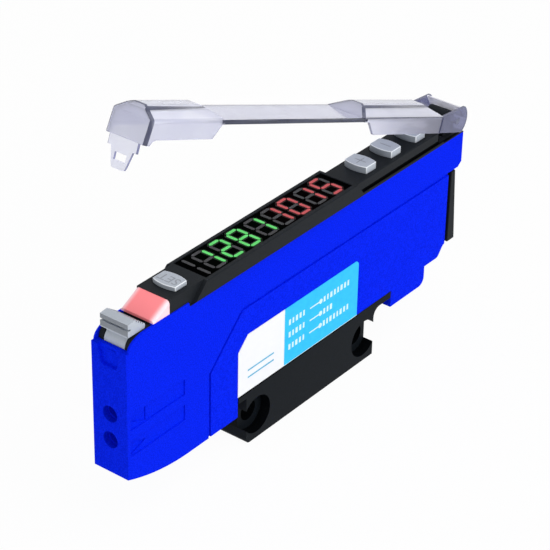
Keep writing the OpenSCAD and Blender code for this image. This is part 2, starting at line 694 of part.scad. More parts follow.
// Side outlines of the front hood and the rear hood with its hinge arms
function front_hood() = [[-0.35, skirt_z - 0.75], [0.05, strip_top + 0.3], [0.45, hood_top - 0.4],
    [1.1, hood_top], [ridge_1, hood_top], [hood_1, strip_top], [hood_1, strip_z], [frame_x - 1, strip_z],
    [skirt_1, skirt_z], [1.7, skirt_z], [1.1, skirt_z - 0.2], [0.6, skirt_z - 0.75]];

function rear_hood() = [[frame_1 - 1, strip_z], [frame_1 - 1, strip_top],
    [frame_1 + 1.5, hood_top], [pin_x - 8, hood_top], [pin_x - 4.5, strip_top],
    [pin_x - 4.5, skirt_z], [frame_1 + frame_slope + 0.3, skirt_z], [frame_1 + 0.7, strip_z]];

module lid_closed() {
    r = 2.7;
    difference() {
        union() {
            intersection() {
                side(-lid_half, lid_half) polygon(front_hood());
                along(-2, 20) hood_section(lid_half, hood_top);
            }
            intersection() {
                side(-lid_half, lid_half) polygon(rear_hood());
                along(frame_1 - 4, case_l) hood_section(lid_half, hood_top);
            }
            slab(hood_1 - 0.6, frame_1, lid_half, strip_z, strip_top);
        }
        intersection() {
            side(-lid_half, lid_half) polygon(concat([[-0.35 + lid_t, skirt_z - 3], [20, skirt_z - 3]],
                [[20, strip_z + 0.2], [hood_1 - lid_t, strip_z + 0.2], [ridge_1, hood_top - lid_t],
                 [1.1 + lid_t, hood_top - lid_t], [0.05 + lid_t, strip_top + 0.3],
                 [-0.35 + lid_t, skirt_z - 0.75]]));
            along(-2, 20) hood_section(lid_in, hood_top - lid_t);
        }
        intersection() {
            side(-lid_half, lid_half) polygon([[frame_1 - 6, skirt_z - 3], [case_l, skirt_z - 3],
                [case_l, strip_top - lid_t], [pin_x - 4.5 - lid_t, strip_top - lid_t],
                [pin_x - 8, hood_top - lid_t], [frame_1 + 1.5 + lid_t, hood_top - lid_t],
                [frame_1 - 1 + lid_t, strip_z + 0.2], [frame_1 - 6, strip_z + 0.2]]);
            along(frame_1 - 8, case_l + 1) hood_section(lid_in, hood_top - lid_t);
        }
        slab(hood_1 - 1.6, frame_1 + 1, lid_in - 0.5, strip_z - 1, strip_z + 0.2);
    }
    for (s = [-1, 1]) translate([0, s*(lid_half + lid_in)/2, 0]) difference() {
        side(-(lid_half - lid_in)/2, (lid_half - lid_in)/2)
            polygon(concat([[pin_x - 5.5, skirt_z]], ellipse(pin_x, pin_z, r, r, -42, 62, 8),
                [[pin_x - 5.5, strip_top]]));
        bar(pin_x, pin_z, pin_r + gap/2, 2);
    }
    side(-lid_in - eps, lid_in + eps)
        polygon([[pin_x + 0.45, pin_z + 2.28], [pin_x + 0.1, pin_z + 2.2], [pin_x + 2.2, pin_z + 0.5],
            [pin_x + 2.5, pin_z + 0.75]]);
    slab(-0.35, 0.1, 2.5, ledge_z + 0.25, skirt_z - 0.7);
    difference() {
        along(0.05 - 0.4, 0.1)
            polygon([[-tongue_w/2, ledge_z + 0.3], [-tongue_w/2 + 0.7, ledge_z + 0.25 - tongue_l],
                [tongue_w/2 - 0.7, ledge_z + 0.25 - tongue_l], [tongue_w/2, ledge_z + 0.3]]);
        translate([-1, -1, ledge_z - 1.45]) cube([2, 2, 1.05]);
    }
}

module dust_cover() color([0.8, 0.82, 0.92, 0.5]) placed()
    translate([pin_x, 0, pin_z]) rotate([0, lid_open, 0]) translate([-pin_x, 0, -pin_z]) lid_closed();

main_case();
side_cover();
label_plain();
label_tint();
mounting_bracket();
rear_cover();
cable_bush();
top_bezel();
display_module();
segments_green();
segments_red();
segments_dark();
set_key();
plus_key();
minus_key();
mode_key();
key_switches();
key_board();
main_board();
indicator_lens();
indicator_led();
clamp_lever();
lever_pin();
fibre_block();
fibre_clamp();
emitter_led();
receiver_diode();
hinge_pin();
dust_cover();
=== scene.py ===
import math
import bmesh
import bpy
from mathutils import Matrix, Vector


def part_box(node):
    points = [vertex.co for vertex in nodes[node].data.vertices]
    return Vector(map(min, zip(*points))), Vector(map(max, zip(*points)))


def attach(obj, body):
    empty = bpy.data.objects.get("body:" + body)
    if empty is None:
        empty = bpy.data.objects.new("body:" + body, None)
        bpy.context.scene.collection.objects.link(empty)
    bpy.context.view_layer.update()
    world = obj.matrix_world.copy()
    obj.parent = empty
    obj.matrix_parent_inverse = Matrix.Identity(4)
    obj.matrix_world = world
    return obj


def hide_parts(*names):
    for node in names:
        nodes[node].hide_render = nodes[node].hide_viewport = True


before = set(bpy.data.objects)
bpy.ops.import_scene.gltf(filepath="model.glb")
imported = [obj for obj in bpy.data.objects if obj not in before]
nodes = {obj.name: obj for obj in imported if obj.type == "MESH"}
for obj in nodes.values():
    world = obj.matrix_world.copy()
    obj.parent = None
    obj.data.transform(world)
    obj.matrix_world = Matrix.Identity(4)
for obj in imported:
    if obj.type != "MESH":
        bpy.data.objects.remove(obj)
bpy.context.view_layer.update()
mm = 0.001
noseLength = 41.84  # front face to the middle of the bracket, mm
print("stage: frame loaded with", len(nodes), "nodes")


def inFrame(x, y, z):
    return Vector(((x - noseLength) * mm, y * mm, z * mm))  # x is measured from the front face


# nodes of the materials

def startMaterial(name):
    material = bpy.data.materials.new(name)
    material.use_nodes = True
    tree = material.node_tree
    return material, tree, tree.nodes["Principled BSDF"]


def setInputs(node, values):
    for key, value in values.items():
        node.inputs[key].default_value = value


def addNode(tree, kind, **values):
    node = tree.nodes.new(kind)
    setInputs(node, values)
    return node


def textureSpot(tree):
    return tree.nodes.new("ShaderNodeTexCoord").outputs


def splitAxes(tree, vector):
    node = tree.nodes.new("ShaderNodeSeparateXYZ")
    tree.links.new(vector, node.inputs["Vector"])
    return node.outputs


def noiseNode(tree, vector, **values):
    node = addNode(tree, "ShaderNodeTexNoise", **values)
    tree.links.new(vector, node.inputs["Vector"])
    return node.outputs["Fac"]


def rampColour(tree, amount, stops):
    node = tree.nodes.new("ShaderNodeValToRGB")
    ramp = node.color_ramp
    while len(ramp.elements) < len(stops):
        ramp.elements.new(0.5)
    for element, (spot, colour) in zip(ramp.elements, stops):
        element.position = spot
        element.color = (*colour, 1)
    tree.links.new(amount, node.inputs["Fac"])
    return node.outputs["Color"]


def cloudTone(tree, vector, look, detail):
    cloud = noiseNode(tree, vector, Scale=look["scale"], Detail=detail)
    return rampColour(tree, cloud, [(0.3, look["dark"]), (0.7, look["light"])])


def mapRange(tree, value, start, end):
    node = addNode(tree, "ShaderNodeMapRange", **{"From Min": start, "From Max": end})
    tree.links.new(value, node.inputs["Value"])
    return node.outputs["Result"]


def mathNode(tree, operation, *values):
    node = tree.nodes.new("ShaderNodeMath")
    node.operation = operation
    for slot, value in zip(node.inputs, values):
        tree.links.new(value, slot)
    return node.outputs["Value"]


def shadeColour(tree, colour, amount, shade):
    blend = tree.nodes.new("ShaderNodeMix")
    blend.data_type = "RGBA"
    blend.blend_type = "MULTIPLY"
    first, second, result = blend.inputs[6], blend.inputs[7], blend.outputs[2]  # the node's colour sockets
    tree.links.new(amount, blend.inputs["Factor"])
    tree.links.new(colour, first)
    second.default_value = (*shade, 1)
    return result


def softBump(tree, shader, height, edge, strength, depth):
    soft = addNode(tree, "ShaderNodeBevel", Radius=edge * mm)  # worn, slightly rounded edges
    bump = addNode(tree, "ShaderNodeBump", Strength=strength, Distance=depth * mm)
    tree.links.new(height, bump.inputs["Height"])
    tree.links.new(soft.outputs["Normal"], bump.inputs["Normal"])
    tree.links.new(bump.outputs["Normal"], shader.inputs["Normal"])


def mixShaders(tree, amount, first, second):
    mix = tree.nodes.new("ShaderNodeMixShader")
    for slot, value in zip(mix.inputs, (amount, first, second)):
        tree.links.new(value, slot)
    return mix.outputs["Shader"]


def seenRays(tree):
    path = tree.nodes.new("ShaderNodeLightPath").outputs
    direct = mathNode(tree, "MAXIMUM", path["Is Camera Ray"], path["Is Glossy Ray"])
    return mathNode(tree, "MAXIMUM", direct, path["Is Transmission Ray"])


# moulded plastics, board, label and ink

def frontShade(tree, spot, colour, shade):  # painted shade: darker on the faces towards the front, above a height
    low, high = shade["height"], shade["height"] + shade["blend"]
    facing = mapRange(tree, splitAxes(tree, spot["Normal"])["X"], *shade["turn"])
    above = mapRange(tree, splitAxes(tree, spot["Object"])["Z"], low * mm, high * mm)
    return shadeColour(tree, colour, mathNode(tree, "MULTIPLY", facing, above), shade["tone"])


def boreShade(tree, spot, colour, shade):  # painted shade: darker walls inside the cross holes
    axes = splitAxes(tree, spot["Object"])
    flat = tree.nodes.new("ShaderNodeCombineXYZ")
    tree.links.new(mathNode(tree, "ABSOLUTE", axes["X"]), flat.inputs["X"])
    tree.links.new(axes["Z"], flat.inputs["Z"])
    away = tree.nodes.new("ShaderNodeVectorMath")
    away.operation = "DISTANCE"
    away.inputs[1].default_value = (shade["along"] * mm, 0, shade["height"] * mm)
    tree.links.new(flat.outputs["Vector"], away.inputs[0])
    inner, outer = shade["reach"], shade["reach"] + shade["blend"]
    near = mapRange(tree, away.outputs["Value"], outer * mm, inner * mm)
    across = mathNode(tree, "ABSOLUTE", splitAxes(tree, spot["Normal"])["Y"])
    wall = mapRange(tree, across, *shade["turn"])
    return shadeColour(tree, colour, mathNode(tree, "MULTIPLY", near, wall), shade["tone"])


def mouldedPlastic(name, look):
    material, tree, shader = startMaterial(name)
    spot = textureSpot(tree)
    spread = look.get("spread", 0.2)
    tone = noiseNode(tree, spot["Object"], Scale=look["toneScale"], Detail=4.0, Roughness=0.6)
    colour = rampColour(tree, tone, [(0.5 - spread, look["dark"]), (0.5 + spread, look["light"])])
    if "frontShade" in look:
        colour = frontShade(tree, spot, colour, look["frontShade"])
    if "boreShade" in look:
        colour = boreShade(tree, spot, colour, look["boreShade"])
    tree.links.new(colour, shader.inputs["Base Color"])
    grain = noiseNode(tree, spot["Object"], Scale=look["grainScale"], Detail=2.0)
    softBump(tree, shader, grain, look["edge"], look["grain"], 0.02)
    gloss = addNode(tree, "ShaderNodeMapRange",
                    **{"To Min": look["roughness"] - 0.05, "To Max": look["roughness"] + 0.05})
    tree.links.new(grain, gloss.inputs["Value"])
    tree.links.new(gloss.outputs["Result"], shader.inputs["Roughness"])
    shader.inputs["Specular IOR Level"].default_value = look["specular"]
    return material


blueShell = {"dark": (0.0003, 0.0115, 0.68), "light": (0.0028, 0.0225, 0.88), "toneScale": 4500,
             "spread": 0.12, "grainScale": 7000, "grain": 0.35, "roughness": 0.55,
             "edge": 0.12, "specular": 0.008}
blackPanel = {"dark": (0.0105, 0.0125, 0.0155), "light": (0.014, 0.0165, 0.0195), "toneScale": 4000,
              "grainScale": 6000, "grain": 0.4, "roughness": 0.5, "edge": 0.03, "specular": 0.06}
# painted shadow: a darker copy of the panel black, for the groove beside the rear keys and the line under the
# label
blackGrooveShadow = {**blackPanel, "dark": (0.0015, 0.0018, 0.0022), "light": (0.0025, 0.003, 0.0035),
               "specular": 0.01}
# the bracket's boreShade is painted shade on the walls of the cross holes
blackBracket = {"dark": (0.0048, 0.0066, 0.009), "light": (0.007, 0.0092, 0.012), "toneScale": 4000,
                "grainScale": 5000, "grain": 0.5, "roughness": 0.45, "edge": 0.03, "specular": 0.035,
                "boreShade": {"tone": (0.3, 0.3, 0.3), "along": 13.25, "height": 4.12, "reach": 3.13,
                              "blend": 0.03, "turn": (0.6, 0.3)}}
greyKey = {"dark": (0.43, 0.47, 0.525), "light": (0.48, 0.52, 0.575), "toneScale": 4000, "grainScale": 9000,
           "grain": 0.2, "roughness": 0.38, "edge": 0.02, "specular": 0.25}
# painted shade on the lever's faces towards the front
greyLever = {**greyKey, "frontShade": {"tone": (0.5, 0.5, 0.5), "height": 31.0, "blend": 0.1,
                                       "turn": (-0.25, -0.75)}}
# painted shade for the bowed sides of the keys, and a painted highlight for their rims
greySideShade = {**greyKey, "dark": (0.27, 0.3, 0.34), "light": (0.3, 0.33, 0.37)}
greyRimHighlight = {**greyKey, "dark": (0.78, 0.82, 0.86), "light": (0.83, 0.87, 0.91)}
greyMark = {**greyKey, "dark": (0.27, 0.29, 0.33), "light": (0.31, 0.33, 0.37)}
blackRubber = {"dark": (0.01, 0.01, 0.011), "light": (0.016, 0.016, 0.017), "toneScale": 900,
               "grainScale": 4000, "grain": 0.6, "roughness": 0.7, "edge": 0.1, "specular": 0.3}
boardGreen = {"dark": (0.006, 0.05, 0.02), "light": (0.01, 0.08, 0.03), "toneScale": 1500, "grainScale": 5000,
              "grain": 0.3, "roughness": 0.35, "edge": 0.05, "specular": 0.5}
diodeResin = {"dark": (0.5, 0.44, 0.42), "light": (0.62, 0.56, 0.53), "toneScale": 800, "grainScale": 3000,
              "grain": 0.1, "roughness": 0.15, "edge": 0.1, "specular": 0.5}
darkResin = {**diodeResin, "dark": (0.015, 0.012, 0.014), "light": (0.03, 0.022, 0.026)}
paperWhite = {"dark": (0.85, 0.86, 0.87), "light": (0.87, 0.877, 0.887), "toneScale": 1200,
              "grainScale": 9000, "grain": 0.12, "roughness": 0.5, "edge": 0.04, "specular": 0.15}
paperTint = {**paperWhite, "dark": (0.026, 0.5, 0.93), "light": (0.034, 0.55, 0.98), "specular": 0.1}
whiteInk = {**paperWhite, "dark": (0.62, 0.86, 0.9), "light": (0.68, 0.9, 0.94), "edge": 0.02}
blueInk = {**paperTint, "dark": (0.1, 0.42, 0.62), "light": (0.16, 0.5, 0.7), "edge": 0.02}

shellBlue = mouldedPlastic("shellBlue", blueShell)
panelBlack = mouldedPlastic("panelBlack", blackPanel)
grooveShadow = mouldedPlastic("grooveShadow", blackGrooveShadow)
bracketBlack = mouldedPlastic("bracketBlack", blackBracket)
keyGrey = mouldedPlastic("keyGrey", greyKey)
leverGrey = mouldedPlastic("leverGrey", greyLever)
keySideShade = mouldedPlastic("keySideShade", greySideShade)
keyRimHighlight = mouldedPlastic("keyRimHighlight", greyRimHighlight)
markGrey = mouldedPlastic("markGrey", greyMark)
rubberBlack = mouldedPlastic("rubberBlack", blackRubber)
boardMask = mouldedPlastic("boardMask", boardGreen)
resinClear = mouldedPlastic("resinClear", diodeResin)
resinDark = mouldedPlastic("resinDark", darkResin)
labelWhite = mouldedPlastic("labelWhite", paperWhite)
labelBlue = mouldedPlastic("labelBlue", paperTint)
inkWhite = mouldedPlastic("inkWhite", whiteInk)
inkBlue = mouldedPlastic("inkBlue", blueInk)


# pins, display, lens and clear cover

def brushedSteel(name, look):
    material, tree, shader = startMaterial(name)
    stretch = addNode(tree, "ShaderNodeMapping", Scale=look["stretch"])
    tree.links.new(textureSpot(tree)["Object"], stretch.inputs["Vector"])
    tone = cloudTone(tree, stretch.outputs["Vector"], look, 3.0)
    tree.links.new(tone, shader.inputs["Base Color"])
    setInputs(shader, {"Metallic": 1.0, "Roughness": look["roughness"]})
    return material


steelPin = {"dark": (0.45, 0.46, 0.48), "light": (0.62, 0.63, 0.65), "stretch": (1, 0.05, 1), "scale": 4000,
            "roughness": 0.3}
steelHinge = {**steelPin, "dark": (0.16, 0.17, 0.25), "light": (0.24, 0.25, 0.34), "roughness": 0.4}
pinSteel = brushedSteel("pinSteel", steelPin)
hingeSteel = brushedSteel("hingeSteel", steelHinge)

displayFace = {"dark": (0.0004, 0.0004, 0.0005), "light": (0.00072, 0.00072, 0.0009), "scale": 600,
               "green": (0.0, 0.0007, 0.0001), "red": (0.0008, 0.0001, 0.0001), "start": -24.5, "split": -6.6,
               "end": 8.2, "roughness": 0.25, "specular": 0.0005}


def smokedDisplay(look):
    material, tree, shader = startMaterial("displaySmoked")
    spot = textureSpot(tree)["Object"]
    along = mapRange(tree, splitAxes(tree, spot)["X"], look["start"] * mm, look["end"] * mm)
    split = (look["split"] - look["start"]) / (look["end"] - look["start"])
    black, green, red = (0, 0, 0), look["green"], look["red"]
    glow = rampColour(tree, along, [(0.0, black), (0.1, green), (split - 0.03, green), (split + 0.03, red),
                                    (0.95, red), (1.0, black)])
    tree.links.new(cloudTone(tree, spot, look, 2.0), shader.inputs["Base Color"])
    tree.links.new(glow, shader.inputs["Emission Color"])
    setInputs(shader, {"Emission Strength": 1.0, "Roughness": look["roughness"],
                       "Specular IOR Level": look["specular"]})
    return material


displaySmoked = smokedDisplay(displayFace)


def litSegment(name, look):
    material, tree, shader = startMaterial(name)
    tone = cloudTone(tree, textureSpot(tree)["Object"], look, 2.0)
    tree.links.new(tone, shader.inputs["Base Color"])
    tree.links.new(tone, shader.inputs["Emission Color"])
    setInputs(shader, {"Emission Strength": look["glow"], "Roughness": 0.4, "Specular IOR Level": 0.1})
    return material


greenDigit = {"dark": (0.09, 0.52, 0.115), "light": (0.125, 0.64, 0.16), "scale": 1500, "glow": 0.3}
redDigit = {"dark": (0.41, 0.064, 0.071), "light": (0.49, 0.08, 0.087), "scale": 1500, "glow": 0.3}
greyDigit = {"dark": (0.044, 0.044, 0.048), "light": (0.06, 0.06, 0.064), "scale": 1500, "glow": 0.0}
greenHalo = {**greenDigit, "dark": (0.0004, 0.0095, 0.0016), "light": (0.0006, 0.0125, 0.0022)}
redHalo = {**redDigit, "dark": (0.0085, 0.0004, 0.0005), "light": (0.0115, 0.0006, 0.0007)}
digitGreen = litSegment("digitGreen", greenDigit)
digitRed = litSegment("digitRed", redDigit)
digitGrey = litSegment("digitGrey", greyDigit)
haloGreen = litSegment("haloGreen", greenHalo)
haloRed = litSegment("haloRed", redHalo)

# painted highlight: the lens turns from its core colour to a paler rim colour away from its middle line
lensLook = {"core": (0.95, 0.235, 0.255), "rim": (0.93, 0.6, 0.645), "inner": 1.9, "outer": 2.8, "edge": 0.2,
            "scale": 2500, "grain": 0.15, "glow": 0.18, "roughness": 0.35, "specular": 0.3,
            "coat": (0.25, 0.15)}


def frostedLens(look):
    material, tree, shader = startMaterial("lensPink")
    spot = textureSpot(tree)["Object"]
    # painted highlight: paler towards the near and far sides
    away = mathNode(tree, "ABSOLUTE", splitAxes(tree, spot)["Y"])
    rim = addNode(tree, "ShaderNodeMapRange",
                  **{"From Min": look["inner"] * mm, "From Max": look["outer"] * mm})
    rim.interpolation_type = "SMOOTHSTEP"
    tree.links.new(away, rim.inputs["Value"])
    tone = rampColour(tree, rim.outputs["Result"], [(0.0, look["core"]), (1.0, look["rim"])])
    tree.links.new(tone, shader.inputs["Base Color"])
    tree.links.new(tone, shader.inputs["Emission Color"])
    cloud = noiseNode(tree, spot, Scale=look["scale"], Detail=2.0)
    softBump(tree, shader, cloud, look["edge"], look["grain"], 0.01)
    coat, coatRoughness = look["coat"]
    setInputs(shader, {"Emission Strength": look["glow"], "Roughness": look["roughness"],
                       "Specular IOR Level": look["specular"], "Coat Weight": coat,
                       "Coat Roughness": coatRoughness})
    return material


lensPink = frostedLens(lensLook)


def clearPlastic(name, look):
    material, tree, shader = startMaterial(name)
    link = tree.links.new
    spot = textureSpot(tree)["Object"]
    colour = cloudTone(tree, spot, look, 3.0)
    if "fade" in look:  # darker towards the hinge
        start, end, shade = look["fade"]
        along = mapRange(tree, splitAxes(tree, spot)["X"], start * mm, end * mm)
        colour = shadeColour(tree, colour, along, shade)
    link(colour, shader.inputs["Base Color"])
    ripple = noiseNode(tree, spot, Scale=900, Detail=2.0)
    bump = addNode(tree, "ShaderNodeBump", Strength=0.1, Distance=0.02 * mm)
    link(ripple, bump.inputs["Height"])
    link(bump.outputs["Normal"], shader.inputs["Normal"])
    setInputs(shader, {"Transmission Weight": look["clear"], "IOR": 1.45, "Roughness": look["roughness"]})
    passing = addNode(tree, "ShaderNodeBsdfTransparent", Color=(*look["shade"], 1))
    path = tree.nodes.new("ShaderNodeLightPath").outputs  # lamps reach what is under the cover
    surface = mixShaders(tree, path["Is Shadow Ray"], shader.outputs["BSDF"], passing.outputs["BSDF"])
    link(surface, tree.nodes["Material Output"].inputs["Surface"])
    return material


coverWall = {"dark": (0.74, 0.75, 0.83), "light": (0.79, 0.8, 0.87), "scale": 250, "clear": 0.55,
             "roughness": 0.08, "shade": (0.9, 0.9, 0.95)}
coverSkirt = {**coverWall, "dark": (0.62, 0.63, 0.735), "light": (0.66, 0.67, 0.765),
              "fade": (12, 34, (0.3, 0.3, 0.37))}
coverEnd = {**coverWall, "dark": (0.9, 0.9, 0.95), "light": (0.97, 0.97, 1.0), "clear": 0.4}
coverLatch = {**coverWall, "dark": (0.83, 0.84, 0.94), "light": (0.88, 0.89, 0.97), "clear": 0.12,
              "roughness": 0.25}
# painted shade: dark slate for the rounded edges and bands of the clear cover
coverEdgeShade = {"dark": (0.06, 0.065, 0.12), "light": (0.11, 0.12, 0.19), "scale": 400, "clear": 0.3,
             "roughness": 0.1, "shade": (0.7, 0.7, 0.8)}
coverHinge = {**coverEdgeShade, "dark": (0.155, 0.165, 0.29), "light": (0.21, 0.22, 0.365), "clear": 0.6,
              "shade": (0.8, 0.8, 0.88)}
coverBar = {**coverEdgeShade, "dark": (0.62, 0.63, 0.77), "light": (0.72, 0.73, 0.85), "clear": 0.6,
            "shade": (0.85, 0.85, 0.92)}
# painted shade for the sides and long edges of the strip
coverBarShade = {**coverEdgeShade, "dark": (0.02, 0.025, 0.055), "light": (0.035, 0.042, 0.08), "clear": 0.12}
wallClear = clearPlastic("wallClear", coverWall)
skirtClear = clearPlastic("skirtClear", coverSkirt)
edgeShadeClear = clearPlastic("edgeShadeClear", coverEdgeShade)
hingeClear = clearPlastic("hingeClear", coverHinge)
stripClear = clearPlastic("stripClear", coverBar)
stripSideShade = clearPlastic("stripSideShade", coverBarShade)
endClear = clearPlastic("endClear", coverEnd)
tongueClear = clearPlastic("tongueClear", coverLatch)

finishes = {
    "main_case": shellBlue, "side_cover": shellBlue, "label_plain": labelWhite, "label_tint": labelBlue,
    "mounting_bracket": bracketBlack, "rear_cover": panelBlack, "cable_bush": rubberBlack,
    "top_bezel": panelBlack, "display_module": displaySmoked, "segments_green": digitGreen,
    "segments_red": digitRed, "segments_dark": digitGrey, "set_key": keyGrey, "plus_key": keyGrey,
    "minus_key": keyGrey, "mode_key": keyGrey, "key_switches": rubberBlack, "key_board": boardMask,
    "main_board": boardMask, "indicator_lens": lensPink, "indicator_led": resinClear,
    "clamp_lever": leverGrey, "lever_pin": pinSteel, "fibre_block": shellBlue, "fibre_clamp": pinSteel,
    "emitter_led": resinClear, "receiver_diode": resinDark, "hinge_pin": hingeSteel, "dust_cover": wallClear}
for name, finish in finishes.items():
    for slot in nodes[name].material_slots:
        slot.material = finish
print("stage: finishes on", len(finishes), "nodes")


# tools for the pieces

def makePiece(name, bm, materials, body):
    mesh = bpy.data.meshes.new(name)
    bm.to_mesh(mesh)
    bm.free()
    piece = bpy.data.objects.new(name, mesh)
    bpy.context.scene.collection.objects.link(piece)
    for material in materials:
        mesh.materials.append(material)
    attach(piece, body)
    return piece


def addBlock(bm, xs, ys, zs):
    low, high = inFrame(xs[0], ys[0], zs[0]), inFrame(xs[1], ys[1], zs[1])
    place = Matrix.Translation((low + high) / 2) @ Matrix.Diagonal((*(high - low), 1))
    bmesh.ops.create_cube(bm, size=1.0, matrix=place)


def bevelEdges(bm, edges, width, segments, finish=1, smooth=True):
    result = bmesh.ops.bevel(bm, geom=edges, offset=width * mm, offset_type="OFFSET", segments=segments,
                             profile=0.5, affect="EDGES", clamp_overlap=True, material=-1)
    for face in result["faces"]:
        face.material_index = finish
        face.smooth = smooth
    return result["faces"]


def extrudeFaces(bm, faces, along):
    grown = bmesh.ops.extrude_face_region(bm, geom=faces)["geom"]
    moved = [v for v in grown if isinstance(v, bmesh.types.BMVert)]
    bmesh.ops.translate(bm, verts=moved, vec=along)
    return moved


def addPlate(bm, loops, place, thick):
    edges = []
    for loop in loops:
        verts = [bm.verts.new(place(u, v)) for u, v in loop]
        edges += [bm.edges.new((verts[i - 1], verts[i])) for i in range(len(verts))]
    filled = bmesh.ops.triangle_fill(bm, edges=edges, use_beauty=True, use_dissolve=False)["geom"]
    extrudeFaces(bm, [f for f in filled if isinstance(f, bmesh.types.BMFace)], thick)


def arcPoints(middle, radius, start, end, steps):
    angles = [math.radians(start + (end - start) * i / steps) for i in range(steps + 1)]
    return [(middle[0] + radius * math.cos(a), middle[1] + radius * math.sin(a)) for a in angles]


def ringPoints(middle, radius, count=24):
    return arcPoints(middle, radius, 0, 360 - 360 / count, count - 1)


def pointOut(bm):
    bmesh.ops.recalc_face_normals(bm, faces=bm.faces)


# plain bars and arrows on the label, and the light hem under its tinted field
labelPrint = {"face": -3.064, "thick": 0.012, "rows": (16.45, 14.3, 12.15), "tall": 0.95,
              "word": (35.9, 40.5), "ends": (51.0, 46.6, 51.2), "dashes": (0.46, 0.38, 0.52),
              "space": 0.4, "hem": 0.09}
labelArrow = {"start": 41.0, "end": 44.0, "line": 0.22, "lineShort": 0.75, "head": 0.42, "headShort": 0.35,
              "after": 0.35, "segments": 16}
labelMark = {"long": (26.3, 32.4), "low": 11.65, "high": 13.15, "line": 0.28}


def addDashes(bm, start, end, depth, row):
    look = labelPrint
    x, step = start, 0
    while x < end - look["space"]:
        long = look["dashes"][step % len(look["dashes"])]
        addBlock(bm, (x, min(x + long, end)), depth, (row - look["tall"] / 2, row + look["tall"] / 2))
        x += long + look["space"]
        step += 1


def addArrow(bm, depth, row):
    look = labelArrow
    addBlock(bm, (look["start"], look["end"] - look["lineShort"]), depth,
             (row - look["line"] / 2, row + look["line"] / 2))
    spot = inFrame(look["end"] - look["headShort"], depth[1], row)
    turn = Matrix.Translation(spot) @ Matrix.Rotation(math.radians(90), 4, "X")
    disc = bmesh.ops.create_circle(bm, cap_ends=True, segments=look["segments"], radius=look["head"] * mm,
                                   matrix=turn)
    faces = list({f for v in disc["verts"] for f in v.link_faces})
    extrudeFaces(bm, faces, (0, (depth[0] - depth[1]) * mm, 0))


def labelRows():
    look, mark = labelPrint, labelMark
    depth = (look["face"] - look["thick"], look["face"])
    bm = bmesh.new()
    for row, end in zip(look["rows"], look["ends"]):
        addDashes(bm, *look["word"], depth, row)
        addDashes(bm, labelArrow["end"] + labelArrow["after"], end, depth, row)
        addArrow(bm, depth, row)
    low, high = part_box("label_tint")
    foot = low[2] / mm
    addBlock(bm, (low[0] / mm + noseLength, high[0] / mm + noseLength), depth, (foot, foot + look["hem"]))
    pointOut(bm)
    makePiece("label_rows", bm, [inkWhite], "amplifier")
    bm = bmesh.new()
    addBlock(bm, mark["long"], depth, (mark["low"], mark["low"] + mark["line"]))
    addBlock(bm, mark["long"], depth, (mark["high"] - mark["line"], mark["high"]))
    pointOut(bm)
    makePiece("label_mark", bm, [inkBlue], "amplifier")


labelRows()
print("stage: label printed")

# rear cover with a neck and a plate that leans out towards its foot
rearPlate = {"neck": (76.7, 77.65), "neckHalf": 2.35, "neckRise": 0.28, "bite": 0.05, "half": 2.95,
             "low": 11.2, "high": 24.0, "top": 78.7, "foot": 79.55, "bush": (0, 16.0), "bushHole": 1.98,
             "fine": 0.12, "sharp": 0.8, "near": 0.01}
rearRibs = {"start": 18.9, "pitch": 0.95, "count": 5, "half": 1.9, "tall": 0.4, "root": 0.3, "proud": 0.05}


def plateDepth(z):
    look = rearPlate
    return look["foot"] + (look["top"] - look["foot"]) * (z - look["low"]) / (look["high"] - look["low"])


def rearCover():
    look, ribs = rearPlate, rearRibs
    bm = bmesh.new()
    inner, outer = look["neck"]
    half, low, high = look["half"], look["low"], look["high"]
    outline = [(-half, low), (half, low), (half, high), (-half, high)]
    hole = ringPoints(look["bush"], look["bushHole"])
    addPlate(bm, [outline, hole], lambda y, z: inFrame(outer, y, z), (mm, 0, 0))
    for vert in bm.verts:
        if vert.co.x > inFrame(outer + 0.5, 0, 0).x:  # the face leans
            vert.co.x = inFrame(plateDepth(vert.co.z / mm), 0, 0).x
    pointOut(bm)
    rim = [e for e in bm.edges if len(e.link_faces) == 2 and e.calc_face_angle() > look["sharp"]
           and any(abs(v.co.y) > (half - look["near"]) * mm for v in e.verts)]
    bevelEdges(bm, rim, look["fine"], 2, finish=0, smooth=False)
    addBlock(bm, (inner, outer + look["bite"]), (-look["neckHalf"], look["neckHalf"]),
             (low, high + look["neckRise"]))
    for i in range(ribs["count"]):
        z = ribs["start"] + ribs["pitch"] * i
        face = plateDepth(z)
        addBlock(bm, (face - ribs["root"], face + ribs["proud"]), (-ribs["half"], ribs["half"]),
                 (z, z + ribs["tall"]))
    piece = makePiece("rear_cover_plate", bm, [panelBlack], "amplifier")
    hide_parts("rear_cover")


rearCover()
print("stage: rear cover made")

# painted shadow: dark floor and wall of the groove beside the rear keys, with a thin rim outside it, and a
# dark painted shadow line under the label
flangeGapShadow = {"long": (24.3, 53.1), "depth": (-3.112, -3.05), "tall": (9.12, 9.35)}
skirtGroove = {"start": 52.6, "low": 30.4, "outside": 3.0,
               "floor": {"inner": 2.5, "outer": 2.93, "high": 30.44, "end": 79.6},
               "wall": {"inner": 2.5, "outer": 2.63, "high": 31.34, "end": 73.9},
               "rim": {"inner": 2.92, "outer": 3.1, "high": 30.68, "end": 74.6}}


